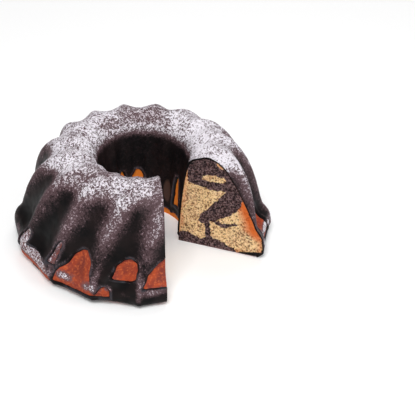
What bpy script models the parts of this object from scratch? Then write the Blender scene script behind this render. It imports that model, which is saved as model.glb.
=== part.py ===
"""Marbled bundt cake with a wedge cut out of it.

The cake is one closed solid that stands on z = 0, with the axis of its centre hole on +Z.  The mould
gives it rounded ridges with broad channels between them: they run from a thick scalloped foot up
the flank, swirl over the crown and go down the wall of the centre hole.  Its size includes the
glaze.  The wedge is missing between two vertical knife cuts that meet inside the centre hole.
"""

import math
from bisect import bisect_right

import bmesh
import bpy
from mathutils import Vector

MM = 0.001

# ---- driving dimensions, in millimetres and degrees -------------------------------------------

FOOT_RADIUS = 122.5      # ridge ends at the foot: the widest circle of the cake
FLANK_RADIUS = 112.0     # ridges halfway down the flank
SHOULDER_RADIUS = 97.0   # ridges where the crown turns into the flank
CROWN_RADIUS = 68.0      # highest circle
HOLE_TOP_RADIUS = 45.0   # where the crown turns into the centre hole
HOLE_RADIUS = 36.5       # centre hole at the base
REST_RADIUS = 108.0      # outer edge of the flat underside
CROWN_HEIGHT = 100.0

FLUTES = 16
FIRST_RIDGE = -91.0      # bearing of one ridge at the foot; +X is 0 and +Y is 90
SWIRL = 19.0             # how far a ridge turns from the foot to the hole
ARRIS = 0.25             # roundness of a ridge: 0 is a knife edge

CUT_BEARINGS = (-83.4, -22.0)  # the two knife cuts
KNIFE_POINT = (8.7, -5.6)      # where they meet, inside the centre hole

STEPS_PER_FLUTE = 8
POINTS_PER_SPAN = 2      # outline points from one key point to the next

# Key points of the outline along a ridge, from the hole's foot over the crown to the rest edge:
# radius, height, depth of the channel between ridges, and the part of the swirl reached there.
KEY_POINTS = (
    (HOLE_RADIUS, 0.0, 0.4, 1.00),
    (HOLE_RADIUS + 0.3, 20.0, 0.8, 1.00),
    (HOLE_RADIUS + 3.0, 58.0, 1.2, 1.00),
    (HOLE_TOP_RADIUS, 88.0, 1.4, 0.98),
    (0.5 * (HOLE_TOP_RADIUS + CROWN_RADIUS), 97.5, 2.0, 0.95),
    (CROWN_RADIUS, CROWN_HEIGHT, 2.6, 0.90),
    (84.0, 94.0, 4.4, 0.72),
    (SHOULDER_RADIUS, 80.0, 6.8, 0.48),
    (105.5, 63.0, 8.0, 0.32),
    (FLANK_RADIUS, 42.0, 8.2, 0.14),
    (114.8, 32.0, 8.0, 0.06),
    (120.0, 25.0, 5.8, 0.02),
    (FOOT_RADIUS, 17.0, 3.8, 0.00),
    (122.0, 7.0, 2.8, 0.00),
    (117.5, 1.2, 2.0, 0.00),
    (REST_RADIUS, 0.0, 0.0, 0.00),
)

CAKE_COLOUR = (0.10, 0.055, 0.04, 1.0)


# ---- scene helpers -----------------------------------------------------------------------------

def clear_scene():
    for thing in list(bpy.context.scene.objects):
        bpy.data.objects.remove(thing, do_unlink=True)


def collection(name):
    group = bpy.data.collections.new(name)
    bpy.context.scene.collection.children.link(group)
    return group


def material(name, colour, roughness):
    mat = bpy.data.materials.new(name)
    mat.use_nodes = True
    shader = mat.node_tree.nodes["Principled BSDF"]
    shader.inputs["Base Color"].default_value = colour
    shader.inputs["Roughness"].default_value = roughness
    shader.inputs["Metallic"].default_value = 0.0
    return mat


# ---- outline -----------------------------------------------------------------------------------

def smooth_between(before, start, end, after, t):
    """Catmull-Rom value between start and end."""
    slope_in = 0.5 * (end - before)
    slope_out = 0.5 * (after - start)
    rise = end - start
    return (start + slope_in * t + (3.0 * rise - 2.0 * slope_in - slope_out) * t ** 2
            + (slope_in + slope_out - 2.0 * rise) * t ** 3)


def outline():
    """Points (radius, height, depth, swirl) on a smooth curve through KEY_POINTS."""
    keys = (KEY_POINTS[0],) + KEY_POINTS + (KEY_POINTS[-1],)
    points = []
    for span in range(len(KEY_POINTS) - 1):
        for step in range(POINTS_PER_SPAN):
            t = step / POINTS_PER_SPAN
            points.append(tuple(smooth_between(*values, t) for values in zip(*keys[span:span + 4])))
    points.append(KEY_POINTS[-1])
    return [(r, max(z, 0.0), depth, swirl) for r, z, depth, swirl in points]


def outward(points, i):
    """Unit normal of the outline at point i, as (radial, vertical), pointing out of the cake."""
    before = points[max(i - 1, 0)]
    after = points[min(i + 1, len(points) - 1)]
    along = Vector((after[0] - before[0], after[1] - before[1])).normalized()
    return Vector((-along.y, along.x))


def channel(turn):
    """0 on a ridge and 1 in the middle of a channel; turn counts flutes."""
    wave = math.hypot(math.sin(math.pi * turn), ARRIS) - ARRIS
    return wave / (math.hypot(1.0, ARRIS) - ARRIS)


# ---- cake --------------------------------------------------------------------------------------

def turned_ring(group):
    """The outline along a ridge, turned round the axis by a Screw modifier."""
    points = outline()
    mesh = bpy.data.meshes.new("cake_outline")
    # The outline goes round the flat underside and back to its first point.
    edges = [(i, (i + 1) % len(points)) for i in range(len(points))]
    mesh.from_pydata([(r * MM, 0.0, z * MM) for r, z, _, _ in points], edges, [])
    profile = bpy.data.objects.new("cake_outline", mesh)
    group.objects.link(profile)
    screw = profile.modifiers.new("turn", "SCREW")
    screw.axis = "Z"
    screw.angle = math.tau
    screw.steps = FLUTES * STEPS_PER_FLUTE
    screw.render_steps = screw.steps
    screw.use_merge_vertices = True
    screw.merge_threshold = 0.00001
    bpy.context.view_layer.update()
    evaluated = profile.evaluated_get(bpy.context.evaluated_depsgraph_get())
    ring = bpy.data.meshes.new_from_object(evaluated)
    ring.name = "cake"
    bpy.data.objects.remove(profile, do_unlink=True)
    return ring


def press_flutes(ring):
    """Swirl the turned ring and press the channels into it between the ridges."""
    points = outline()
    row_at = {(round(r, 3), round(z, 3)): i for i, (r, z, _, _) in enumerate(points)}
    for vertex in ring.vertices:
        x, y, z = (value / MM for value in vertex.co)
        row = row_at[nearest(row_at, math.hypot(x, y), z)]
        r, z, depth, swirl = points[row]
        turn = FLUTES * math.atan2(y, x) / math.tau
        inward = -outward(points, row) * depth * channel(turn)
        bearing = math.atan2(y, x) + math.radians(FIRST_RIDGE + SWIRL * swirl)
        radius = r + inward.x
        vertex.co = Vector((radius * math.cos(bearing), radius * math.sin(bearing),
                            max(z + inward.y, 0.0))) * MM
    ring.update()


def nearest(rows, radius, height):
    return min(rows, key=lambda place: math.hypot(place[0] - radius, place[1] - height))


def close_faces_outward(ring):
    work = bmesh.new()
    work.from_mesh(ring)
    bmesh.ops.remove_doubles(work, verts=work.verts, dist=0.00001)
    bmesh.ops.recalc_face_normals(work, faces=work.faces)
    work.to_mesh(ring)
    work.free()


def wedge_cutter(group):
    """A tall three-sided prism over the missing wedge."""
    reach = 2.0 * FOOT_RADIUS
    corners = [Vector(KNIFE_POINT)]
    for bearing in CUT_BEARINGS:
        direction = Vector((math.cos(math.radians(bearing)), math.sin(math.radians(bearing))))
        corners.append(Vector(KNIFE_POINT) + reach * direction)
    work = bmesh.new()
    floor = [work.verts.new((x * MM, y * MM, -0.5 * CROWN_HEIGHT * MM)) for x, y in corners]
    base = work.faces.new(floor)
    raised = bmesh.ops.extrude_face_region(work, geom=[base])["geom"]
    top = [item for item in raised if isinstance(item, bmesh.types.BMVert)]
    bmesh.ops.translate(work, verts=top, vec=(0.0, 0.0, 2.0 * CROWN_HEIGHT * MM))
    bmesh.ops.recalc_face_normals(work, faces=work.faces)
    mesh = bpy.data.meshes.new("wedge_cutter")
    work.to_mesh(mesh)
    work.free()
    cutter = bpy.data.objects.new("wedge_cutter", mesh)
    cutter.hide_render = True
    cutter.display_type = "WIRE"
    group.objects.link(cutter)
    return cutter


def make_cake(group, cutters):
    ring = turned_ring(cutters)
    press_flutes(ring)
    close_faces_outward(ring)
    ring.shade_smooth()
    ring.set_sharp_from_angle(angle=math.radians(40.0))
    cake = bpy.data.objects.new("cake", ring)
    cake.data.materials.append(material("chocolate_crust", CAKE_COLOUR, 0.55))
    group.objects.link(cake)
    cut = cake.modifiers.new("missing wedge", "BOOLEAN")
    cut.operation = "DIFFERENCE"
    cut.object = wedge_cutter(cutters)
    return cake


def main():
    clear_scene()
    cake_group = collection("bundt_cake")
    cutters = collection("cutters")
    make_cake(cake_group, cutters)


main()
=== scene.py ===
"""Looks of a marbled bundt cake with a wedge cut out of it.

Three pieces stand for the CAD solid: the baked cake with its two marbled cuts, the chocolate glaze
that ran down it and left windows of bare crust, and the clumps in the icing sugar.  The sugar's
fine dust is part of the glaze's and the crust's materials.  Lengths in this file are millimetres,
and bearings are degrees round the hole's axis, with +X at 0 and +Y at 90.
"""
import math

import bpy
import numpy as np
from mathutils import Matrix, Vector
from mathutils.geometry import delaunay_2d_cdt
from mathutils.kdtree import KDTree


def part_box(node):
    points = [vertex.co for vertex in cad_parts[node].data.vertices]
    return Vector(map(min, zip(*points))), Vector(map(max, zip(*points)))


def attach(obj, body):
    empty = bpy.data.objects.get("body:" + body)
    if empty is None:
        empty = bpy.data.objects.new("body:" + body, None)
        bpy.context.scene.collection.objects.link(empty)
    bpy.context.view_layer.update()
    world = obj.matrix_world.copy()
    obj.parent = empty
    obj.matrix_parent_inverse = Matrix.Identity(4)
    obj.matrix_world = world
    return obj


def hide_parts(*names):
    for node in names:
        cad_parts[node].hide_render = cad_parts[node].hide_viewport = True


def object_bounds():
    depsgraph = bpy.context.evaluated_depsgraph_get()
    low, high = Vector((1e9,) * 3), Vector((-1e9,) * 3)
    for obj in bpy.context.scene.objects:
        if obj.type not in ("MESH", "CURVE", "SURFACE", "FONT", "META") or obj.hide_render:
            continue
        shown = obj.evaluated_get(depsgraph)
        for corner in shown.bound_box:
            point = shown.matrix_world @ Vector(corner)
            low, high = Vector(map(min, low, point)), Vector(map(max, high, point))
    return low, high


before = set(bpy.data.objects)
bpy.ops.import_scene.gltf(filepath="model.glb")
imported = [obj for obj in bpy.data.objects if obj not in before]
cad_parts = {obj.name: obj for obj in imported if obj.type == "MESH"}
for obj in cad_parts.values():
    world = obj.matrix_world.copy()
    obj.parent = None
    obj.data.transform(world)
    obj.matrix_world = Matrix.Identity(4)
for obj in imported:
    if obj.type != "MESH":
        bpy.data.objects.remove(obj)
cad_low, cad_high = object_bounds()

MM = 0.001

# ---- sizes, from the frame ----------------------------------------------------------------------

FIRST_RIDGE = -91.0
FLUTES = 16
PITCH = 360.0 / FLUTES
box_low, box_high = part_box("cake")
FOOT_RADIUS = 0.5 * (box_high.x - box_low.x) / MM / math.cos(math.radians(1.0))
CROWN_HEIGHT = (box_high.z - box_low.z) / MM
REST_RADIUS = 108.0
HOLE_RADIUS = 36.5
HOLE_TOP_RADIUS = 45.0
# Width of one flute, on the flank and low in the hole.
FLANK_FLUTE = 46.0
HOLE_FLUTE = 14.5
CROWN_RADIUS = 68.0
SHOULDER_RADIUS = 97.0
FLANK_RADIUS = 112.0
SWIRL = 19.0
ARRIS = 0.25

CUT_BEARINGS = {"right": -22.0, "left": -83.4}
KNIFE_POINT = np.array((8.7, -5.6))

GLAZE = 1.3            # thickness of the glaze; the crust lies this deep under the CAD surface

# Outline along a ridge, from the hole's foot over the crown to the rest edge:
# radius, height, depth of the channel between ridges, part of the swirl reached.
KEY_POINTS = (
    (HOLE_RADIUS, 0.0, 0.4, 1.00),
    (HOLE_RADIUS + 0.3, 20.0, 0.8, 1.00),
    (HOLE_RADIUS + 3.0, 58.0, 1.2, 1.00),
    (HOLE_TOP_RADIUS, 88.0, 1.4, 0.98),
    (0.5 * (HOLE_TOP_RADIUS + CROWN_RADIUS), 97.5, 2.0, 0.95),
    (CROWN_RADIUS, CROWN_HEIGHT, 2.6, 0.90),
    (84.0, 94.0, 4.4, 0.72),
    (SHOULDER_RADIUS, 80.0, 6.8, 0.48),
    (105.5, 63.0, 8.0, 0.32),
    (FLANK_RADIUS, 42.0, 8.2, 0.14),
    (114.8, 32.0, 8.0, 0.06),
    (120.0, 25.0, 5.8, 0.02),
    (FOOT_RADIUS, 17.0, 3.8, 0.00),
    (122.0, 7.0, 2.8, 0.00),
    (117.5, 1.2, 2.0, 0.00),
    (REST_RADIUS, 0.0, 0.0, 0.00),
)

# Windows that the glaze left open on the flank, as arches: middle in flutes from the first ridge,
# height of the sill, height of the top, half widths at both, and how far the top leans.
FLANK_WINDOWS = (
    (-3.00, 8.0, 35.0, 9.0, 6.0, 0.0),
    (-2.60, 1.0, 25.0, 33.0, 31.0, 0.0),
    (-1.95, 26.0, 47.0, 3.0, 2.0, 0.0),
    (-1.36, 8.0, 46.0, 22.0, 13.0, -4.0),
    (-0.72, 8.0, 19.0, 6.0, 4.0, 0.0),
    (-0.37, 29.0, 44.0, 11.0, 10.0, 0.0),
    (0.42, 22.0, 44.0, 18.0, 15.0, 0.0),
    (3.45, 8.0, 48.0, 16.0, 5.0, 2.0),
    (4.50, 27.0, 46.0, 13.0, 9.0, -2.0),
    (5.42, 8.0, 43.0, 18.0, 6.0, 0.0),
    (6.48, 27.0, 49.0, 13.0, 9.0, 2.0),
    (7.15, 8.0, 20.0, 7.0, 6.0, 0.0),
    (7.60, 27.0, 44.0, 12.0, 8.5, 0.0),
    (8.50, 8.0, 48.0, 18.0, 6.0, 1.0),
    (9.52, 26.0, 43.0, 13.0, 9.0, 0.0),
    (10.44, 8.0, 45.0, 16.0, 5.0, -2.0),
    (11.45, 24.0, 40.0, 12.0, 7.0, 0.0),
)
# Windows low on the hole's wall, in the same way.
HOLE_WINDOWS = (
    (4.55, 16.0, 48.0, 4.0, 3.0, 0.0),
    (7.40, 5.0, 46.0, 8.0, 8.0, 0.0),
    (8.50, 5.0, 46.0, 4.0, 3.5, 0.0),
    (3.45, 5.0, 38.0, 5.0, 4.0, 0.0),
    (9.50, 5.0, 41.0, 5.2, 4.6, 0.0),
    (10.55, 5.0, 37.0, 4.6, 4.0, 0.0),
    (11.48, 5.0, 44.0, 5.4, 4.4, 0.0),
    (12.50, 5.0, 40.0, 5.0, 4.2, 0.0),
    (13.52, 5.0, 36.0, 4.4, 4.0, 0.0),
)
# Runs of glaze down the flank and over the foot: flutes from the first ridge at the top and at
# the end, heights there, and half width.
DRIPS = (
    (-0.90, -0.90, 38.0, 4.0, 2.3),
    (-0.04, -0.03, 36.0, 3.0, 2.2),
    (-1.90, -1.88, 44.0, 10.0, 1.6),
    (2.93, 2.96, 40.0, 5.0, 2.4),
    (4.02, 4.00, 38.0, 9.0, 2.0),
    (4.95, 4.96, 36.0, 4.0, 2.5),
    (5.98, 6.00, 40.0, 6.0, 2.1),
    (6.92, 6.90, 36.0, 4.0, 2.2),
    (8.02, 8.00, 40.0, 7.0, 2.4),
    (8.98, 9.00, 38.0, 4.0, 2.0),
    (9.97, 9.95, 40.0, 9.0, 2.3),
    (10.96, 10.95, 38.0, 4.0, 2.2),
)


# ---- numbers ------------------------------------------------------------------------------------

def lattice_noise(points, size, seed):
    """Smooth noise from -1 to 1 at points, whose lumps are about size across."""
    table = np.random.default_rng(seed).random((32, 32, 32)) * 2.0 - 1.0
    cell = points / size
    corner = np.floor(cell).astype(int)
    f = cell - corner
    f = f * f * (3.0 - 2.0 * f)
    total = np.zeros(points.shape[:-1])
    for dx in (0, 1):
        for dy in (0, 1):
            for dz in (0, 1):
                weight = (np.where(dx, f[..., 0], 1 - f[..., 0]) * np.where(dy, f[..., 1], 1 - f[..., 1])
                          * np.where(dz, f[..., 2], 1 - f[..., 2]))
                total += weight * table[(corner[..., 0] + dx) % 32, (corner[..., 1] + dy) % 32,
                                        (corner[..., 2] + dz) % 32]
    return total


def smoothstep(low, high, value):
    t = np.clip((value - low) / (high - low), 0.0, 1.0)
    return t * t * (3.0 - 2.0 * t)


def srgb(red, green, blue):
    """A colour given in sRGB, 0 to 255, as the linear colour a shader takes."""
    def linear(v):
        v /= 255.0
        return v / 12.92 if v <= 0.04045 else ((v + 0.055) / 1.055) ** 2.4
    return (linear(red), linear(green), linear(blue), 1.0)


# ---- the cake's skin ----------------------------------------------------------------------------

def catmull_rom(rows, t):
    """Value of each column between rows 1 and 2 of four rows."""
    a, b, c, d = rows
    slope_in = 0.5 * (c - a)
    slope_out = 0.5 * (d - b)
    t = t[:, None]
    return (b + slope_in * t + (3.0 * (c - b) - 2.0 * slope_in - slope_out) * t ** 2
            + (slope_in + slope_out - 2.0 * (c - b)) * t ** 3)


class Outline:
    """The outline along a ridge, read by its length from the hole's foot."""

    def __init__(self, keys, per_span=40):
        rows = np.array((keys[0],) + keys + (keys[-1],), float)
        t = np.arange(per_span) / per_span
        spans = [catmull_rom(rows[i:i + 4], t) for i in range(len(keys) - 1)]
        dense = np.vstack(spans + [rows[-1:]])
        dense[:, 1] = np.maximum(dense[:, 1], 0.0)
        step = np.hypot(*np.diff(dense[:, :2], axis=0).T)
        self.arc = np.concatenate(([0.0], np.cumsum(step)))
        self.dense = dense
        along = np.gradient(dense[:, :2], self.arc, axis=0)
        along /= np.linalg.norm(along, axis=1, keepdims=True)
        self.out = np.stack((-along[:, 1], along[:, 0]), 1)
        self.length = self.arc[-1]
        self.crown = self.arc[np.argmax(dense[:, 1])]

    def at(self, arc):
        read = [np.interp(arc, self.arc, column) for column in self.dense.T]
        out = [np.interp(arc, self.arc, column) for column in self.out.T]
        return (*read, *out)

    def arc_at_height(self, height, outer=True):
        """Length at which the outer or the inner side reaches a height."""
        side = self.arc >= self.crown if outer else self.arc < self.crown
        z = self.dense[side, 1]
        arc = self.arc[side]
        return np.interp(height, z[::-1], arc[::-1]) if outer else np.interp(height, z, arc)


OUTLINE = Outline(KEY_POINTS)


def channel(turn):
    """0 on a ridge and 1 in the middle of a channel."""
    wave = np.hypot(np.sin(np.pi * turn), ARRIS) - ARRIS
    return wave / (math.hypot(1.0, ARRIS) - ARRIS)


def flute_turn(bearing, swirl):
    return (bearing - FIRST_RIDGE - SWIRL * swirl) / PITCH


def skin(bearing, arc, rise=0.0):
    """Points of the cake's outer surface, raised by rise, at a bearing and a length along the outline."""
    r, z, depth, swirl, out_r, out_z = OUTLINE.at(arc)
    push = rise - depth * channel(flute_turn(bearing, swirl))
    radius = r + out_r * push
    angle = np.radians(bearing)
    return np.stack((radius * np.cos(angle), radius * np.sin(angle), np.maximum(z + out_z * push, 0.0)), -1)


def cut_bearing(side, radius):
    """Bearing at which a circle crosses one knife cut."""
    angle = math.radians(CUT_BEARINGS[side])
    offset = float(np.dot(KNIFE_POINT, (-math.sin(angle), math.cos(angle))))
    return CUT_BEARINGS[side] + np.degrees(np.arcsin(np.clip(offset / radius, -1.0, 1.0)))


def skin_grid(shares, arcs, rise=0.0):
    """Bearings and lengths of a grid whose first and last columns lie on the knife cuts."""
    arc = np.broadcast_to(arcs, (len(shares), len(arcs)))
    start = np.full(len(arcs), CUT_BEARINGS["right"])
    end = np.full(len(arcs), CUT_BEARINGS["left"] + 360.0)
    for _ in range(12):
        at_start = skin(start, arcs, rise)
        at_end = skin(end, arcs, rise)
        start = cut_bearing("right", np.hypot(at_start[:, 0], at_start[:, 1]))
        end = cut_bearing("left", np.hypot(at_end[:, 0], at_end[:, 1])) + 360.0
    bearing = start + (end - start) * shares[:, None]
    return bearing, arc


def spaced(stops):
    """Lengths from the first stop to the last; each stop is (length, spacing up to the next one)."""
    runs = []
    for (start, spacing), (end, _) in zip(stops, stops[1:]):
        count = max(2, round((end - start) / spacing))
        runs.append(np.linspace(start, end, count, endpoint=False))
    return np.append(np.concatenate(runs), stops[-1][0])


# ---- glaze ---------------------------------------------------------------------------------------

GLAZE_COLUMNS = 420
# The glaze's map: its walls and under side take a strip of this height, its top takes the rest.
UV_STRIP = 0.03


def arch_outline(middle, sill, top, half_sill, half_top, lean):
    """Points (flutes, height) around an arch-topped window with a flat sill."""
    tall = top - sill
    rows = ((-1.0, 0.0), (-0.86, 0.45), (-0.40, 0.82), (0.0, 0.96),
            (0.35, 0.98), (0.85, 0.80), (1.0, 0.45), (1.0, 0.0))
    outline = []
    for side, up in rows:
        half = half_sill + (half_top - half_sill) * up
        x = side * max(half, 0.55 * half_sill) + lean * up
        outline.append((middle + x / FLANK_FLUTE, sill + tall * up))
    return tuple(outline)


def window_outlines(on_outside):
    if on_outside:
        return tuple(arch_outline(*row) for row in FLANK_WINDOWS)
    wide = FLANK_FLUTE / HOLE_FLUTE
    hole = []
    for middle, sill, top, half_sill, half_top, lean in HOLE_WINDOWS:
        hole.append(arch_outline(middle, sill, top, half_sill * wide, half_top * wide, lean))
    return tuple(hole)


def distance_to_loop(points, loop):
    """Distance from each point to a closed line, and whether the point is inside it."""
    nearest = np.full(len(points), 1e9)
    inside = np.zeros(len(points), bool)
    for p, q in zip(loop, np.roll(loop, -1, 0)):
        d = q - p
        length = np.dot(d, d)
        if length < 1e-12:
            continue
        t = np.clip((points - p) @ d / length, 0.0, 1.0)
        nearest = np.minimum(nearest, np.hypot(*(points - p - t[:, None] * d).T))
        crosses = (p[1] > points[:, 1]) != (q[1] > points[:, 1])
        with np.errstate(divide="ignore", invalid="ignore"):
            at = p[0] + (points[:, 1] - p[1]) * d[0] / d[1]
        inside ^= crosses & (points[:, 0] < at)
    return nearest, inside


def window_gap(turn, arc, outline, on_outside):
    """Distance from points of the skin to a window, in mm, negative inside it."""
    outline = np.array(outline, float)
    flute_width = FLANK_FLUTE if on_outside else HOLE_FLUTE
    middle = outline[:, 0].mean()
    x = ((turn - middle + 0.5 * FLUTES) % FLUTES - 0.5 * FLUTES) * flute_width
    corners = np.column_stack(((outline[:, 0] - middle) * flute_width,
                               [OUTLINE.arc_at_height(h, on_outside) for h in outline[:, 1]]))
    gap = np.full(x.shape, 1e3)
    near = np.abs(x) < np.abs(corners[:, 0]).max() + 8.0
    away, inside = distance_to_loop(np.column_stack((x[near], arc[near])), corners)
    gap[near] = np.where(inside, -away, away)
    return gap


def glaze_cover(bearing, arc):
    """How far inside the glaze's edge a point of the skin lies, in mm; negative on bare crust."""
    swirl = OUTLINE.at(arc)[3]
    turn = flute_turn(bearing, swirl)
    points = skin(bearing, arc)
    wobble = 0.8 * lattice_noise(points, 9.0, 21) + 0.45 * lattice_noise(points, 3.5, 22)
    outer = arc >= OUTLINE.crown
    drip = 3.0 * channel(turn) + 2.5 * lattice_noise(points, 11.0, 23)
    cover = np.where(outer, 1e3, arc - 4.0 - 0.4 * drip)
    for on_outside in (True, False):
        side = outer == on_outside
        for outline in window_outlines(on_outside):
            gap = window_gap(turn[side], arc[side], outline, on_outside)
            cover[side] = np.minimum(cover[side], gap + wobble[side])
    return cover


def drip_height(bearing, arc):
    """0 to 1 over the middles of the runs of glaze."""
    _, z, _, swirl, _, _ = OUTLINE.at(arc)
    turn = flute_turn(bearing, swirl)
    outer = arc >= OUTLINE.crown
    height = np.zeros(turn.shape)
    for turn_top, turn_end, top, end, half in DRIPS:
        share = np.clip((top - z) / (top - end), 0.0, 1.0)
        middle = turn_top + share * (turn_end - turn_top)
        x = ((turn - middle + 0.5 * FLUTES) % FLUTES - 0.5 * FLUTES) * FLANK_FLUTE
        swell = 1.0 + 0.35 * np.exp(-((z - end - 2.5) / 3.0) ** 2)
        run = np.exp(-(x / (half * swell)) ** 2)
        run *= smoothstep(end - 2.0, end + 1.5, z) * (1.0 - smoothstep(top - 12.0, top + 4.0, z)) * swell
        height = np.maximum(height, np.where(outer, run, 0.0))
    return height


def snap_to_edge(shares, arcs):
    """A grid over the skin, with grid points moved onto the glaze's edge where it passes close by.

    Gives each point's share, length and cover, and the triangles that lie inside the edge."""
    share = np.repeat(shares[:, None], len(arcs), 1)
    arc = np.repeat(arcs[None, :], len(shares), 0)
    start, _ = skin_grid(np.zeros(1), arcs)
    end, _ = skin_grid(np.ones(1), arcs)

    def bearing_at(share, arc):
        return (np.interp(arc, arcs, start[0]) * (1.0 - share) + np.interp(arc, arcs, end[0]) * share)

    cover = glaze_cover(bearing_at(share, arc), arc)
    best = np.full(cover.shape, 0.5)
    new_share, new_arc = share.copy(), arc.copy()
    snapped = np.zeros(cover.shape, bool)
    for axis, step in ((0, 1), (0, -1), (1, 1), (1, -1)):
        other = np.roll(cover, -step, axis)
        valid = (cover * other) < 0.0
        edge = [slice(None), slice(None)]
        edge[axis] = -1 if step == 1 else 0
        valid[tuple(edge)] = False
        # Points on the cuts slide only along them.
        if axis == 0:
            valid[0, :] = False
            valid[-1, :] = False
        part = np.where(valid, cover / np.where(valid, cover - other, 1.0), 1.0)
        take = part < best
        best = np.where(take, part, best)
        snapped |= take
        new_share = np.where(take, share + part * (np.roll(share, -step, axis) - share), new_share)
        new_arc = np.where(take, arc + part * (np.roll(arc, -step, axis) - arc), new_arc)
    cover = np.where(snapped, 0.0, cover)
    ids = np.arange(cover.size).reshape(cover.shape)
    a, b, c, d = ids[:-1, :-1], ids[1:, :-1], ids[1:, 1:], ids[:-1, 1:]
    flat = cover.ravel()
    on_edge_bd = (flat[b] == 0.0) & (flat[d] == 0.0)
    triangles = np.concatenate((
        np.stack((a, b, c), -1)[~on_edge_bd], np.stack((a, c, d), -1)[~on_edge_bd],
        np.stack((a, b, d), -1)[on_edge_bd], np.stack((b, c, d), -1)[on_edge_bd]))
    values = flat[triangles]
    keep = (values.min(1) >= 0.0) & (values.max(1) > 0.0)
    triangles = triangles[keep]
    bearing = bearing_at(new_share, new_arc)
    return bearing.ravel(), new_share.ravel(), new_arc.ravel(), np.maximum(flat, 0.0), triangles


def boundary_edges(triangles):
    """Directed edges that only one triangle has."""
    edges = np.concatenate((triangles[:, (0, 1)], triangles[:, (1, 2)], triangles[:, (2, 0)]))
    key = edges.min(1).astype(np.int64) * (triangles.max() + 1) + edges.max(1)
    _, first, counts = np.unique(key, return_index=True, return_counts=True)
    return edges[first[counts == 1]]


def glaze_rise(bearing, arc, cover):
    """Height of the glaze over the CAD surface: a bead along its edge, then a nearly even coat."""
    points = skin(bearing, arc)
    inside = np.clip(cover / 1.6, 0.0, 1.0)
    rounded = np.sqrt(1.0 - (1.0 - inside) ** 2)
    bead = 0.8 * np.exp(-((cover - 2.2) / 1.5) ** 2)
    waves = 0.22 * lattice_noise(points, 13.0, 31) + 0.12 * lattice_noise(points, 5.0, 32)
    drips = 1.1 * drip_height(bearing, arc)
    return -GLAZE - 0.25 + (GLAZE + 0.25 + bead + waves + drips) * rounded


def new_object(name, vertices, faces, smooth_angle=None):
    mesh = bpy.data.meshes.new(name)
    mesh.from_pydata((vertices * MM).tolist(), [], faces.tolist() if hasattr(faces, "tolist") else faces)
    mesh.validate()
    mesh.shade_smooth()
    if smooth_angle:
        mesh.set_sharp_from_angle(angle=math.radians(smooth_angle))
    piece = bpy.data.objects.new(name, mesh)
    bpy.context.scene.collection.objects.link(piece)
    return piece


def paint(piece, name, values):
    layer = piece.data.attributes.new(name, "FLOAT", "POINT")
    layer.data.foreach_set("value", np.asarray(values, np.float32))


def dust_amount(bearing, arc):
    """How much of the surface the icing sugar hides, from 0 to 1."""
    _, z, _, swirl, _, out_z = OUTLINE.at(arc)
    ridge = 1.0 - channel(flute_turn(bearing, swirl))
    points = skin(bearing, arc)
    angle = np.radians(bearing)
    patches = 0.6 * lattice_noise(points, 17.0, 41) + 0.4 * lattice_noise(points, 6.0, 42)
    outer = arc >= OUTLINE.crown
    # It reaches further down on the ridges than in the channels.
    lower = 83.0 - 6.0 * ridge
    crown = smoothstep(0.28, 0.92, out_z) * smoothstep(lower, lower + 13.0, z)
    on_crown = 0.56 + 0.12 * np.cos(2.0 * angle) + 0.04 * np.cos(angle) + 0.26 * patches
    on_flank = smoothstep(26.0, 88.0, z) * (0.03 + 0.22 * ridge)
    on_flank = on_flank + 0.12 * ridge ** 1.5 * smoothstep(14.0, 30.0, z)
    on_flank += 0.04 * smoothstep(48.0, 76.0, z)
    on_flank *= 1.0 + 0.22 * np.cos(angle) + 0.55 * patches
    on_foot = 0.50 * np.exp(-((z - 17.5) / 4.5) ** 2) * (0.6 + 1.3 * patches)
    on_side = np.maximum(on_flank, on_foot) + 0.26 * drip_height(bearing, arc)
    # No sugar below 6.5 mm: the glaze keeps the foot black, partly as glaze and partly as painted shadow
    # under the lip.
    on_side *= smoothstep(6.5, 11.0, z)
    down = 74.5 + 4.5 * np.sin(angle)
    in_hole = 0.055 + 0.55 * smoothstep(down, down + 13.0, z)
    beside = np.where(outer, on_side, in_hole)
    return np.clip(beside + crown * (on_crown - beside), 0.0, 1.0)


def glaze_noise(bearing, arc):
    return 0.5 + 0.8 * lattice_noise(skin(bearing, arc), 6.0, 61)


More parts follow.
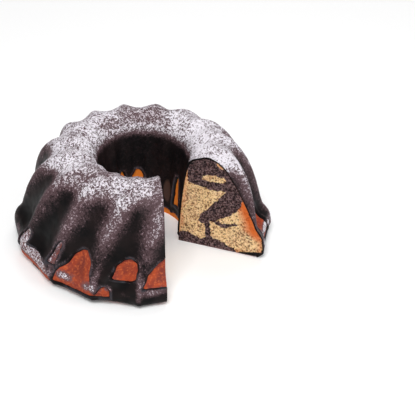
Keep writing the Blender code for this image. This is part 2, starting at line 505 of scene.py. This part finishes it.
def make_glaze():
    crown = OUTLINE.crown
    hole_rim = OUTLINE.arc_at_height(84.0, False)
    window_top = OUTLINE.arc_at_height(52.0)
    arcs = spaced(((1.0, 2.2), (hole_rim, 2.0), (crown + 30.0, 1.7), (window_top, 1.25),
                   (OUTLINE.arc_at_height(0.8), 0.0)))
    shares = np.linspace(0.0, 1.0, GLAZE_COLUMNS)
    bearing, share, arc, cover, triangles = snap_to_edge(shares, arcs)
    used = np.unique(triangles)
    index = np.full(len(bearing), -1)
    index[used] = np.arange(len(used))
    triangles = index[triangles]
    bearing, share, arc, cover = bearing[used], share[used], arc[used], cover[used]
    rim = boundary_edges(triangles)
    top = skin(bearing, arc, glaze_rise(bearing, arc, cover))
    under = skin(bearing, arc, -GLAZE - 0.6)
    n = len(bearing)
    wall = np.concatenate((np.stack((rim[:, 1], rim[:, 0], rim[:, 0] + n), -1),
                           np.stack((rim[:, 1], rim[:, 0] + n, rim[:, 1] + n), -1)))
    faces = np.concatenate((triangles, triangles[:, ::-1] + n, wall))
    glaze = new_object("glaze", np.concatenate((top, under)), faces, 60.0)
    # Sugar lies on the top only. None lies close to the edge, so the glaze there shows as a dark outline,
    # partly bare glaze and partly painted shade; a thin film along the bead also lightens it as painted
    # highlight.
    dust = dust_amount(bearing, arc) * smoothstep(0.5, 1.8, cover)
    dust = dust + 0.10 * np.exp(-((cover - 2.6) / 0.8) ** 2)
    corner_dust = np.zeros(faces.size)
    corner_dust[:triangles.size] = dust[triangles.ravel()]
    layer = glaze.data.attributes.new("dust", "FLOAT", "CORNER")
    layer.data.foreach_set("value", corner_dust.astype(np.float32))
    # Painted highlight along the bead, broken up by noise.
    bead = np.exp(-((cover - 2.0) / 0.9) ** 2) * smoothstep(0.2, 0.7, glaze_noise(bearing, arc))
    paint(glaze, "bead", np.append(bead, np.zeros(n)))
    turn = flute_turn(bearing, OUTLINE.at(arc)[3])
    height = OUTLINE.at(arc)[1]
    thin = 1.0 - smoothstep(0.75, 1.05, np.hypot((turn - 5.45) / 0.34, (height - 27.0) / 13.0))
    paint(glaze, "thin", np.append(np.where(arc < crown, thin, 0.0), np.zeros(n)))
    # One map over the whole top, so that its sugar bakes finely; the rest shares a strip.
    spread = (arc - arcs[0]) / (arcs[-1] - arcs[0])
    uv = np.column_stack((np.tile(share, 2), np.tile(UV_STRIP + (1.0 - UV_STRIP) * spread, 2)))
    corners = uv[faces.ravel()]
    hidden = slice(triangles.size, None)
    corners[hidden, 1] = 0.002 + 0.026 * corners[hidden, 1]
    glaze.data.uv_layers.new(name="OFBake").uv.foreach_set("vector", corners.astype(np.float32).ravel())
    return glaze


# ---- baked cake ----------------------------------------------------------------------------------

# Cocoa batter on a cut, as brush strokes with curved spines: distance from the hole's axis,
# height, half width.
COCOA_STROKES = (
    ((52, 79, 7), (60, 90, 11), (76, 91, 11), (91, 77, 8), (90, 58, 9), (78, 44, 9), (61, 30, 4)),
    ((50, 73, 5), (66, 69, 4), (84, 70, 5)),
    ((72, 31, 2), (84, 28, 2), (94, 32, 1)),
    ((66, 28, 3), (67, 18, 3), (68, 8, 3)),
    ((36, 4, 5), (48, 6, 6), (60, 2, 5), (72, 6, 6), (92, 1, 3)),
)
# Plain batter folded into it.
PLAIN_STROKES = (
    ((68, 77, 2), (80, 78, 3)),
    ((77, 94, 3), (84, 92, 2)),
)
SWIRL_CENTRE = np.array((70.0, 48.0))


def stroke_distance(points, stroke):
    """Distance to a curved stroke of changing width, negative inside it."""
    rows = np.array((stroke[0],) + stroke + (stroke[-1],), float)
    steps = np.linspace(0.0, 1.0, 6, endpoint=False)
    spine = np.concatenate([catmull_rom(rows[i:i + 4], steps) for i in range(len(stroke) - 1)] + [rows[-1:]])
    nearest = np.full(len(points), 1e9)
    for start, end in zip(spine, spine[1:]):
        a, b = start[:2], end[:2]
        along = np.clip((points - a) @ (b - a) / np.dot(b - a, b - a), 0.0, 1.0)
        gap = np.linalg.norm(points - a - along[:, None] * (b - a), axis=1)
        nearest = np.minimum(nearest, gap - (start[2] + along * (end[2] - start[2])))
    return nearest


def cocoa_amount(points, seed, turn_degrees=0.0):
    """1 in cocoa batter and 0 in plain batter, at points (distance from axis, height) of a cut."""
    turn = math.radians(turn_degrees)
    rotation = np.array(((math.cos(turn), -math.sin(turn)), (math.sin(turn), math.cos(turn))))
    points = (points - SWIRL_CENTRE) @ rotation.T + SWIRL_CENTRE
    deep = np.column_stack((points, np.full(len(points), 7.3 * seed)))
    warp = np.column_stack((lattice_noise(deep, 8.0, seed), lattice_noise(deep, 8.0, seed + 1)))
    fine = np.column_stack((lattice_noise(deep, 2.6, seed + 2), lattice_noise(deep, 2.6, seed + 3)))
    moved = points + 1.1 * warp + 0.9 * fine
    cocoa = np.zeros(len(points))
    for strokes, value in ((COCOA_STROKES, 1.0), (PLAIN_STROKES, 0.0)):
        for stroke in strokes:
            here = 1.0 - smoothstep(-1.2, 1.2, stroke_distance(moved, stroke))
            cocoa += here * (value - cocoa)
    return cocoa


def pores(low, high, seed):
    """Centres and radii of the crumb's pores, spread unevenly over a rectangle."""
    random = np.random.default_rng(seed)
    cell = 1.9
    xs = np.arange(low[0], high[0], cell)
    ys = np.arange(low[1], high[1], cell)
    grid = np.stack(np.meshgrid(xs, ys), -1).reshape(-1, 2)
    centres = grid + random.uniform(0.0, cell, grid.shape)
    radii = 0.35 + 0.75 * random.random(len(grid)) ** 2.5
    return centres, radii


def pore_depth(points, centres, radii, seed):
    """How deep the pores reach under each point, and 0 between them."""
    tree = KDTree(len(centres))
    for i, (x, y) in enumerate(centres):
        tree.insert((x, y, 0.0), i)
    tree.balance()
    # The pores are pulled out of round.
    deep = np.column_stack((points, np.zeros(len(points))))
    pull = np.column_stack((lattice_noise(deep, 1.5, seed), lattice_noise(deep, 1.5, seed + 1)))
    bent = points + 0.55 * pull
    depth = np.zeros(len(points))
    for i, (x, y) in enumerate(bent):
        for _, j, gap in tree.find_n((x, y, 0.0), 3):
            if gap < radii[j]:
                depth[i] = max(depth[i], 1.1 * radii[j] * math.sqrt(1.0 - (gap / radii[j]) ** 2))
    return depth


def hex_points(low, high, spacing, seed):
    random = np.random.default_rng(seed)
    rows = []
    for j, y in enumerate(np.arange(low[1], high[1], spacing * 0.866)):
        x = np.arange(low[0] + (0.5 * spacing if j % 2 else 0.0), high[0], spacing)
        rows.append(np.column_stack((x, np.full(len(x), y))))
    points = np.concatenate(rows)
    return points + random.uniform(-0.22, 0.22, points.shape) * spacing


def lip_shadow_wedge(points):
    """1 in a wedge under the foot that thickens outwards: painted shadow under the lip, in the glaze's dark
    colour.
    """
    radius, height = points.T
    top = 2.0 + 0.22 * (radius - 97.0)
    return smoothstep(96.0, 98.0, radius) * (1.0 - smoothstep(-0.5, 0.5, height - top))


def rim_glow(points, gap):
    """0 to 1 where the crumb turns orange under the crust, which is most at the flank."""
    radius, height = points.T
    deep = np.column_stack((points, np.zeros(len(points))))
    ragged = gap + 1.6 * lattice_noise(deep, 7.0, 77)
    flank = smoothstep(86.0, 98.0, radius) * smoothstep(14.0, 28.0, height)
    flank = flank * (1.0 - smoothstep(56.0, 66.0, height))
    wide = 6.0 + 9.0 * flank
    strong = 0.38 + 0.62 * flank
    return strong * (1.0 - smoothstep(0.2 * wide, wide, ragged))


def cut_face(loop_ids, vertices, side, spacing, seed, turn_degrees):
    """The crumb inside a closed line of vertices on one knife cut.

    Gives the new vertices, the triangles, and for the new vertices the cocoa, pore and edge values."""
    angle = math.radians(CUT_BEARINGS[side])
    along = np.array((math.cos(angle), math.sin(angle)))
    normal = np.array((-math.sin(angle), math.cos(angle), 0.0))
    if side == "right":
        normal = -normal
    loop = np.column_stack((vertices[loop_ids][:, :2] @ along, vertices[loop_ids][:, 2]))
    offset = np.dot(KNIFE_POINT, (-math.sin(angle), math.cos(angle)))
    inner = hex_points(loop.min(0), loop.max(0), spacing, seed)
    gap, inside = distance_to_loop(inner, loop)
    good = inside & (gap > 0.55 * spacing)
    inner, gap = inner[good], gap[good]
    count = len(loop)
    coords = [Vector(p) for p in np.concatenate((loop, inner))]
    edges = [(i, (i + 1) % count) for i in range(count)]
    out = delaunay_2d_cdt(coords, edges, [list(range(count))], 1, 1e-5)
    triangles = np.array([face for face in out[2] if len(face) == 3])
    originals = np.array([ids[0] if ids else -1 for ids in out[3]])
    triangles = originals[triangles]
    radial = np.hypot(inner[:, 0], offset)
    where = np.column_stack((radial, inner[:, 1]))
    centres, radii = pores(loop.min(0), loop.max(0), seed + 5)
    depth = pore_depth(inner, centres, radii, seed + 30)
    solid = np.column_stack((inner, np.full(len(inner), 3.1 * seed)))
    rough = 0.35 * lattice_noise(solid, 6.0, seed + 6) + 0.28 * lattice_noise(solid, 1.6, seed + 7)
    fade = smoothstep(0.0, 2.0, gap)
    push = (rough - depth) * fade
    base = inner[:, :1] * along + offset * np.array((-math.sin(angle), math.cos(angle)))
    new = np.column_stack((base, inner[:, 1])) + push[:, None] * normal
    local = np.concatenate((loop_ids, len(vertices) + np.arange(len(inner))))
    triangles = local[triangles]
    allv = np.concatenate((vertices, new))
    signs = np.cross(allv[triangles[:, 1]] - allv[triangles[:, 0]],
                     allv[triangles[:, 2]] - allv[triangles[:, 0]]) @ normal
    if np.median(signs) < 0.0:
        triangles = triangles[:, ::-1]
    loop_where = np.column_stack((np.hypot(loop[:, 0], offset), loop[:, 1]))
    return {
        "vertices": new, "triangles": triangles,
        "cocoa": cocoa_amount(where, seed + 9, turn_degrees), "pore": depth * fade,
        "glow": rim_glow(where, gap), "loop_glow": rim_glow(loop_where, np.zeros(len(loop))),
        "lip_shadow": lip_shadow_wedge(where), "loop_lip_shadow": lip_shadow_wedge(loop_where),
        "flat": inner, "loop_flat": loop,
        "loop_cocoa": cocoa_amount(loop_where, seed + 9, turn_degrees),
    }


def make_cake():
    foot_top = OUTLINE.arc_at_height(52.0)
    arcs = spaced(((0.0, 2.2), (OUTLINE.arc_at_height(50.0, False), 3.6), (foot_top, 1.3),
                   (OUTLINE.length, 0.0)))
    shares = np.linspace(0.0, 1.0, 430)
    bearing, arc = skin_grid(shares, arcs, -GLAZE)
    points = skin(bearing, arc)
    lift = 0.22 * lattice_noise(points, 7.0, 51) + 0.14 * lattice_noise(points, 2.6, 52)
    lift *= smoothstep(0.0, 4.0, arc) * smoothstep(0.0, 6.0, OUTLINE.length - arc)
    lift[0] = 0.0
    lift[-1] = 0.0
    shell = skin(bearing, arc, -GLAZE + lift)
    # The flat underside closes the ring from the rest edge back to the hole's foot.
    share_in = np.linspace(0.0, 1.0, 12)[1:-1]
    rest, foot = shell[:, -1], shell[:, 0]
    under = rest[:, None] + (foot - rest)[:, None] * share_in[None, :, None]
    ring = np.concatenate((shell, under), 1)
    columns, rows = ring.shape[:2]
    vertices = ring.reshape(-1, 3)
    ids = np.arange(columns * rows).reshape(columns, rows)
    after = np.roll(ids, -1, 1)
    quads = np.stack((ids[:-1], ids[1:], after[1:], after[:-1]), -1).reshape(-1, 4)
    faces = quads.tolist()
    shell_count = len(vertices)
    cocoa = np.zeros(shell_count)
    pore = np.zeros(shell_count)
    glow = np.zeros(shell_count)
    lip_shadow = np.zeros(shell_count)
    # The map has the skin in its lower half, the underside in a strip, and a cut in each upper quarter.
    u = np.repeat(np.linspace(0.0, 1.0, columns)[:, None], rows, 1)
    v = 0.46 * np.concatenate((arc / arc.max(), np.ones((columns, rows - arc.shape[1]))), 1)
    v[:, arc.shape[1]:] += np.linspace(0.002, 0.02, rows - arc.shape[1])
    grid_uv = np.stack((u, v), -1)
    grid_uv = np.concatenate((grid_uv, grid_uv[:, :1] + (0.0, 0.482)), 1)
    spot = np.arange(columns * (rows + 1)).reshape(columns, rows + 1)
    quad_uv = np.stack((spot[:-1, :-1], spot[1:, :-1], spot[1:, 1:], spot[:-1, 1:]), -1).reshape(-1, 4)
    corner_uv = [grid_uv.reshape(-1, 2)[quad_uv.ravel()]]
    crumb_from = len(faces)
    for side, loop, seed, turn in (("right", ids[0], 101, 0.0), ("left", ids[-1], 151, -38.0)):
        face = cut_face(loop, vertices, side, 0.62, seed, turn)
        place_uv = np.zeros((len(vertices) + len(face["vertices"]), 2))
        place_uv[loop] = face["loop_flat"]
        place_uv[len(vertices):] = face["flat"]
        place_uv = (place_uv - (15.0, -2.0)) / (112.0, 104.0) * (0.5, 0.5)
        place_uv = place_uv + ((0.0, 0.5) if side == "right" else (0.5, 0.5))
        corner_uv.append(place_uv[face["triangles"].ravel()])
        vertices = np.concatenate((vertices, face["vertices"]))
        for values, name in ((cocoa, "cocoa"), (glow, "glow"), (lip_shadow, "lip_shadow")):
            values[loop] = face["loop_" + name]
        cocoa = np.concatenate((cocoa, face["cocoa"]))
        pore = np.concatenate((pore, face["pore"]))
        glow = np.concatenate((glow, face["glow"]))
        lip_shadow = np.concatenate((lip_shadow, face["lip_shadow"]))
        faces += face["triangles"].tolist()
    cake = new_object("baked_cake", vertices, faces, 50.0)
    material_index = np.zeros(len(cake.data.polygons), np.int32)
    material_index[crumb_from:] = 1
    cake.data.polygons.foreach_set("material_index", material_index)
    layer = cake.data.uv_layers.new(name="OFBake")
    layer.uv.foreach_set("vector", np.concatenate(corner_uv).astype(np.float32).ravel())
    # Bare crust low on the foot keeps most of the sugar that fell there.
    bared = 0.9 * smoothstep(8.5, 13.0, points[..., 2]) * (1.0 - smoothstep(20.0, 30.0, points[..., 2]))
    turn = (flute_turn(bearing, OUTLINE.at(arc)[3]) + 0.5 * FLUTES) % FLUTES - 0.5 * FLUTES
    left_foot = smoothstep(-3.7, -3.3, turn) * (1.0 - smoothstep(-2.05, -1.80, turn))
    heaped = 0.62 * left_foot * smoothstep(9.5, 12.5, points[..., 2])
    skin_dust = dust_amount(bearing, arc)
    skin_dust = np.where(arc >= OUTLINE.crown, np.maximum(skin_dust * (1.0 + bared), heaped), skin_dust)
    dust = np.zeros((columns, rows))
    dust[:, :skin_dust.shape[1]] = np.clip(skin_dust, 0.0, 1.0)
    paint(cake, "dust", np.append(dust.ravel(), np.zeros(len(vertices) - shell_count)))
    paint(cake, "cocoa", cocoa)
    paint(cake, "pore", pore)
    paint(cake, "glow", glow)
    # Painted shadow under the lip, on the cuts' lower outer corners.
    paint(cake, "lip_shadow", lip_shadow)
    # The middles of big windows baked darkest.
    toasted = np.zeros((columns, rows))
    deep_inside = smoothstep(2.5, 9.0, -glaze_cover(bearing, arc))
    toasted[:, :arc.shape[1]] = deep_inside * smoothstep(16.0, 24.0, points[..., 2])
    paint(cake, "toasted", np.append(toasted.ravel(), np.zeros(len(vertices) - shell_count)))
    radius = np.hypot(vertices[:, 0], vertices[:, 1])
    paint(cake, "pale", 0.95 * (1.0 - smoothstep(45.0, 55.0, radius)))
    return cake


# ---- sugar clumps --------------------------------------------------------------------------------

def make_sugar():
    random = np.random.default_rng(71)
    tries = 60000
    arcs = random.uniform(OUTLINE.arc_at_height(86.0, False), OUTLINE.arc_at_height(10.0), tries)
    low = cut_bearing("right", 60.0) + 1.0
    high = cut_bearing("left", 60.0) + 359.0
    bearing = random.uniform(low, high, tries)
    r = OUTLINE.at(arcs)[0]
    keep = random.random(tries) < r / FOOT_RADIUS * smoothstep(0.25, 0.75, dust_amount(bearing, arcs))
    bearing, arcs = bearing[keep][:5000], arcs[keep][:5000]
    cover = glaze_cover(bearing, arcs)
    rise = np.where(cover > 0.0, glaze_rise(bearing, arcs, np.maximum(cover, 0.0)), -GLAZE)
    centre = skin(bearing, arcs, rise + 0.05)
    step = 0.5
    across = skin(bearing + 0.3, arcs, rise) - skin(bearing - 0.3, arcs, rise)
    along = skin(bearing, arcs + step, rise) - skin(bearing, arcs - step, rise)
    across /= np.linalg.norm(across, axis=1, keepdims=True)
    along /= np.linalg.norm(along, axis=1, keepdims=True)
    normal = np.cross(across, along)
    normal /= np.linalg.norm(normal, axis=1, keepdims=True)
    outward = skin(bearing, arcs, rise + 1.0) - skin(bearing, arcs, rise)
    normal *= np.sign(np.sum(normal * outward, 1))[:, None]
    size = random.uniform(0.18, 0.38, (len(bearing), 1))
    spin = random.uniform(0.0, math.tau, (len(bearing), 1))
    u = np.cos(spin) * across + np.sin(spin) * along
    v = np.cross(normal, u)
    long = size * random.uniform(0.8, 1.5, size.shape)
    corners = np.stack((centre + u * long, centre + v * size, centre - u * long, centre - v * size,
                        centre + normal * size * 0.8, centre - normal * size * 0.6), 1)
    base = np.arange(len(bearing))[:, None, None] * 6
    pattern = np.array(((0, 1, 4), (1, 2, 4), (2, 3, 4), (3, 0, 4),
                        (1, 0, 5), (2, 1, 5), (3, 2, 5), (0, 3, 5)))
    faces = (base + pattern).reshape(-1, 3)
    return new_object("sugar_clumps", corners.reshape(-1, 3), faces)


# ---- materials -----------------------------------------------------------------------------------

class Shader:
    """A material's node tree, built by short calls."""

    def __init__(self, name):
        self.material = bpy.data.materials.new(name)
        self.material.use_nodes = True
        self.tree = self.material.node_tree
        self.surface = self.tree.nodes["Principled BSDF"]
        self.place = self.node("ShaderNodeTexCoord").outputs["Object"]

    def node(self, kind, **settings):
        made = self.tree.nodes.new(kind)
        for name, value in settings.items():
            setattr(made, name, value)
        return made

    def link(self, source, target):
        if isinstance(source, (int, float, tuple)):
            target.default_value = source
        else:
            self.tree.links.new(source, target)

    def attribute(self, name):
        return self.node("ShaderNodeAttribute", attribute_name=name).outputs["Fac"]

    def noise(self, scale, detail=2.0, roughness=0.5):
        made = self.node("ShaderNodeTexNoise")
        self.link(self.place, made.inputs["Vector"])
        made.inputs["Scale"].default_value = scale
        made.inputs["Detail"].default_value = detail
        made.inputs["Roughness"].default_value = roughness
        return made.outputs["Fac"]

    def cells(self, scale):
        """A random value for each of many small cells."""
        made = self.node("ShaderNodeTexVoronoi")
        self.link(self.place, made.inputs["Vector"])
        made.inputs["Scale"].default_value = scale
        return made.outputs["Color"]

    def math(self, operation, first, second=0.0, clamp=False):
        made = self.node("ShaderNodeMath", operation=operation, use_clamp=clamp)
        self.link(first, made.inputs[0])
        self.link(second, made.inputs[1])
        return made.outputs[0]

    def ramp(self, value, low, high, to_low=0.0, to_high=1.0):
        made = self.node("ShaderNodeMapRange", interpolation_type="SMOOTHSTEP")
        self.link(value, made.inputs["Value"])
        self.link(low, made.inputs["From Min"])
        self.link(high, made.inputs["From Max"])
        made.inputs["To Min"].default_value = to_low
        made.inputs["To Max"].default_value = to_high
        return made.outputs["Result"]

    def mix(self, share, first, second):
        made = self.node("ShaderNodeMix", data_type="RGBA")
        self.link(share, made.inputs["Factor"])
        self.link(first, made.inputs["A"])
        self.link(second, made.inputs["B"])
        return made.outputs["Result"]

    def bump(self, height, distance, strength=1.0, before=None):
        made = self.node("ShaderNodeBump")
        made.inputs["Distance"].default_value = distance * MM
        made.inputs["Strength"].default_value = strength
        self.link(height, made.inputs["Height"])
        if before is not None:
            self.link(before, made.inputs["Normal"])
        return made.outputs["Normal"]

    def finish(self, colour, roughness, normal=None, subsurface=0.0):
        self.link(colour, self.surface.inputs["Base Color"])
        self.link(roughness, self.surface.inputs["Roughness"])
        if normal is not None:
            self.link(normal, self.surface.inputs["Normal"])
        if subsurface:
            self.surface.inputs["Subsurface Weight"].default_value = subsurface
            self.surface.inputs["Subsurface Scale"].default_value = 0.002
        return self.material


SUGAR_WHITE = srgb(232, 227, 234)
SUGAR_THIN = srgb(98, 77, 81)
SUGAR_SPARSE = srgb(158, 134, 141)
GLAZE_DARK = srgb(14, 13, 14)
GLAZE_WARM = srgb(30, 23, 23)
# Painted grey highlight along the glaze's bead.
GLAZE_BEAD_HIGHLIGHT = srgb(92, 92, 100)
GLAZE_THIN = srgb(78, 58, 50)
CRUST_ORANGE = srgb(186, 78, 40)
CRUST_RED = srgb(140, 56, 42)
CRUST_TOASTED = srgb(124, 54, 44)
CRUST_SPECK = srgb(214, 108, 60)
CRUST_PALE = srgb(240, 134, 44)
CRUMB_PALE = srgb(240, 200, 146)
CRUMB_BROWN = srgb(196, 152, 116)
CRUMB_ORANGE = srgb(222, 112, 50)
# Painted shade in the pits of the crumb's orange rim.
CRUMB_ORANGE_PIT_SHADE = srgb(176, 74, 34)
COCOA = srgb(72, 52, 53)
COCOA_DEEP = srgb(46, 34, 37)
# The next four are a painted highlight and painted shade in pits, for cocoa crumb and then for plain crumb.
COCOA_HIGHLIGHT = srgb(142, 114, 114)
COCOA_PIT_SHADE = srgb(16, 11, 13)
CRUMB_HIGHLIGHT = srgb(255, 226, 176)
CRUMB_PIT_SHADE = srgb(112, 70, 42)


def add_sugar(shader, under, dust):
    """Icing sugar over a colour: a thin stained film, and white grains whose number follows dust."""
    small = shader.cells(780.0)
    smaller = shader.cells(1450.0)
    clumps = shader.noise(330.0, 2.0, 0.6)
    grain = shader.math("ADD", shader.math("MULTIPLY", small, 0.34), shader.math("MULTIPLY", smaller, 0.26))
    grain = shader.math("ADD", grain, shader.math("MULTIPLY", clumps, 0.40))
    mottled = shader.math("ADD", dust, shader.math("MULTIPLY", shader.math("SUBTRACT", grain, 0.5), 0.5))
    film = shader.math("MULTIPLY", shader.ramp(mottled, 0.0, 0.34, 0.0, 0.9), shader.ramp(dust, 0.02, 0.12))
    filmed = shader.mix(film, under, SUGAR_THIN)
    threshold = shader.math("SUBTRACT", 0.78, shader.math("MULTIPLY", dust, 0.52))
    above = shader.math("SUBTRACT", grain, threshold)
    grains = shader.math("MULTIPLY", shader.ramp(above, -0.05, 0.07), shader.ramp(dust, 0.06, 0.14))
    white = shader.mix(shader.ramp(dust, 0.20, 0.58), SUGAR_SPARSE, SUGAR_WHITE)
    return shader.mix(grains, filmed, white), grains


def glaze_material():
    shader = Shader("chocolate_glaze")
    dust = shader.attribute("dust")
    tint = shader.ramp(shader.noise(60.0, 3.0), 0.35, 0.7)
    dark = shader.mix(tint, GLAZE_DARK, GLAZE_WARM)
    # Painted grey highlight along the bead.
    dark = shader.mix(shader.math("MULTIPLY", shader.attribute("bead"), 0.55), dark, GLAZE_BEAD_HIGHLIGHT)
    dark = shader.mix(shader.attribute("thin"), dark, GLAZE_THIN)
    colour, grains = add_sugar(shader, dark, dust)
    sheen = shader.ramp(shader.noise(90.0, 2.0), 0.3, 0.7, 0.40, 0.60)
    roughness = shader.math("MAXIMUM", sheen, shader.math("MULTIPLY", grains, 0.9))
    ripples = shader.bump(shader.noise(140.0, 2.0), 0.5, 0.35)
    normal = shader.bump(grains, 0.35, 0.6, ripples)
    shader.surface.inputs["Specular IOR Level"].default_value = 0.08
    return shader.finish(colour, roughness, normal)


def crust_material():
    shader = Shader("baked_crust")
    dust = shader.attribute("dust")
    mottle = shader.ramp(shader.noise(140.0, 4.0, 0.6), 0.3, 0.7)
    colour = shader.mix(mottle, CRUST_ORANGE, CRUST_RED)
    colour = shader.mix(shader.math("MULTIPLY", shader.attribute("toasted"), 0.85), colour, CRUST_TOASTED)
    specks = shader.ramp(shader.noise(420.0, 3.0, 0.65), 0.50, 0.66, 0.0, 0.55)
    colour = shader.mix(specks, colour, CRUST_SPECK)
    colour = shader.mix(shader.attribute("pale"), colour, CRUST_PALE)
    less = shader.math("MULTIPLY", dust, 0.8)
    colour, _ = add_sugar(shader, colour, less)
    pits = shader.noise(500.0, 3.0, 0.6)
    normal = shader.bump(pits, 0.6, 0.6)
    shader.surface.inputs["Specular IOR Level"].default_value = 0.2
    return shader.finish(colour, 0.62, normal, 0.08)


def crumb_material():
    shader = Shader("marbled_crumb")
    cocoa = shader.attribute("cocoa")
    glow = shader.attribute("glow")
    pore = shader.attribute("pore")
    fray = shader.math("MULTIPLY", shader.math("SUBTRACT", shader.noise(520.0, 3.0, 0.6), 0.5), 1.5)
    share = shader.ramp(shader.math("ADD", cocoa, fray), 0.36, 0.64)
    patch = shader.ramp(shader.noise(70.0, 2.0), 0.40, 0.65, 0.0, 0.7)
    pale = shader.mix(patch, CRUMB_PALE, CRUMB_BROWN)
    dark = shader.mix(shader.ramp(shader.noise(260.0, 3.0, 0.6), 0.35, 0.65), COCOA, COCOA_DEEP)
    # Painted light and shade: a painted highlight on the crumbs, and painted shade in the small holes
    # between them and in the pores.
    crumbs = shader.noise(540.0, 3.0, 0.74)
    holes = shader.ramp(crumbs, 0.36, 0.46, 1.0, 0.0)
    lights = shader.ramp(crumbs, 0.47, 0.58)
    pit_shade = shader.math("MAXIMUM", shader.ramp(pore, 0.15, 0.8, 0.0, 0.85),
                      shader.math("MULTIPLY", holes, 0.95))
    pale = shader.mix(shader.math("MULTIPLY", lights, 0.9), pale, CRUMB_HIGHLIGHT)
    dark = shader.mix(shader.math("MULTIPLY", lights, 0.8), dark, COCOA_HIGHLIGHT)
    pale = shader.mix(pit_shade, pale, CRUMB_PIT_SHADE)
    # In the orange rim the pits get a rust-coloured painted shade.
    pale = shader.mix(glow, pale, shader.mix(shader.math("MULTIPLY", pit_shade, 0.5), CRUMB_ORANGE, CRUMB_ORANGE_PIT_SHADE))
    dark = shader.mix(pit_shade, dark, COCOA_PIT_SHADE)
    # The glaze's dark colour over the wedge under the foot is painted shadow under the lip.
    colour = shader.mix(shader.attribute("lip_shadow"), shader.mix(share, pale, dark), GLAZE_DARK)
    normal = shader.bump(crumbs, 1.2, 0.9)
    shader.surface.inputs["Specular IOR Level"].default_value = 0.2
    return shader.finish(colour, 0.85, normal, 0.12)


def sugar_material():
    shader = Shader("icing_sugar")
    colour = shader.mix(shader.noise(300.0), SUGAR_WHITE, srgb(205, 196, 204))
    return shader.finish(colour, 0.9)


# ---- stage ---------------------------------------------------------------------------------------

def make_floor():
    bpy.ops.mesh.primitive_plane_add(size=8.0, location=(0.0, 0.0, cad_low.z))
    floor = bpy.context.object
    floor.name = "floor"
    shader = Shader("floor_white")
    shader.surface.inputs["Base Color"].default_value = (0.93, 0.93, 0.93, 1.0)
    shader.surface.inputs["Roughness"].default_value = 1.0
    shader.surface.inputs["Specular IOR Level"].default_value = 0.0
    path = shader.node("ShaderNodeLightPath")
    bounced = shader.math("MAXIMUM", path.outputs["Is Glossy Ray"], path.outputs["Is Transmission Ray"])
    seen = shader.math("MAXIMUM", path.outputs["Is Camera Ray"], bounced)
    shader.surface.inputs["Emission Color"].default_value = (1.0, 1.0, 1.0, 1.0)
    shader.link(shader.math("MULTIPLY", seen, 0.10), shader.surface.inputs["Emission Strength"])
    floor.data.materials.append(shader.material)


def make_world():
    world = bpy.data.worlds.new("studio")
    world.use_nodes = True
    bpy.context.scene.world = world
    tree = world.node_tree
    background = tree.nodes["Background"]
    path = tree.nodes.new("ShaderNodeLightPath")
    pick = tree.nodes.new("ShaderNodeMix")
    pick.data_type = "FLOAT"
    pick.inputs["A"].default_value = 0.30
    pick.inputs["B"].default_value = 1.0
    tree.links.new(path.outputs["Is Camera Ray"], pick.inputs["Factor"])
    tree.links.new(pick.outputs["Result"], background.inputs["Strength"])
    background.inputs["Color"].default_value = (1.0, 1.0, 1.0, 1.0)


def add_lamp(name, azimuth, elevation, distance, size, watts):
    """A square area lamp that faces the cake; azimuth 0 is the camera's side, and 90 is +X."""
    a, e = math.radians(azimuth), math.radians(elevation)
    data = bpy.data.lights.new(name, "AREA")
    data.energy = watts
    data.size = size
    lamp = bpy.data.objects.new(name, data)
    lamp.location = distance * Vector((math.sin(a) * math.cos(e), -math.cos(a) * math.cos(e), math.sin(e)))
    lamp.rotation_euler = (-lamp.location).to_track_quat("-Z", "Y").to_euler()
    bpy.context.scene.collection.objects.link(lamp)


CAMERA_ELEVATION = 33.0
CAMERA_DISTANCE = 1.1        # metres, from the middle of the cake
LENS = 100.5
# The camera turns a little right and down, so that the cake stands left of the middle and above it.
TURN_RIGHT, TURN_DOWN = 3.2, 1.0


def make_camera():
    elevation = math.radians(CAMERA_ELEVATION)
    middle = Vector((0.0, 0.0, 0.5 * cad_high.z))
    forward = Vector((0.0, math.cos(elevation), -math.sin(elevation)))
    up = Vector((0.0, math.sin(elevation), math.cos(elevation)))
    data = bpy.data.cameras.new("camera")
    data.sensor_width = 36.0
    data.lens = LENS
    camera = bpy.data.objects.new("camera", data)
    camera.location = middle - forward * CAMERA_DISTANCE
    straight = Matrix((Vector((1.0, 0.0, 0.0)), up, -forward)).transposed()
    right = Matrix.Rotation(-math.radians(TURN_RIGHT), 3, "Y")
    down = Matrix.Rotation(-math.radians(TURN_DOWN), 3, "X")
    camera.rotation_euler = (straight @ right @ down).to_euler()
    bpy.context.scene.collection.objects.link(camera)
    bpy.context.scene.camera = camera


# ---- build ---------------------------------------------------------------------------------------

def place(piece, slot, *materials):
    for material in materials:
        piece.data.materials.append(material)
    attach(piece, "root")
    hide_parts("cake")


place(make_cake(), "cake", crust_material(), crumb_material())
place(make_glaze(), "glaze", glaze_material())
place(make_sugar(), "sugar", sugar_material())

make_floor()
make_world()
make_camera()
add_lamp("key", -12.0, 58.0, 1.6, 0.7, 17.0)
add_lamp("side", 70.0, 40.0, 1.8, 1.0, 6.0)
add_lamp("back", 170.0, 55.0, 1.8, 1.0, 8.0)
bpy.context.scene.view_settings.view_transform = "Standard"
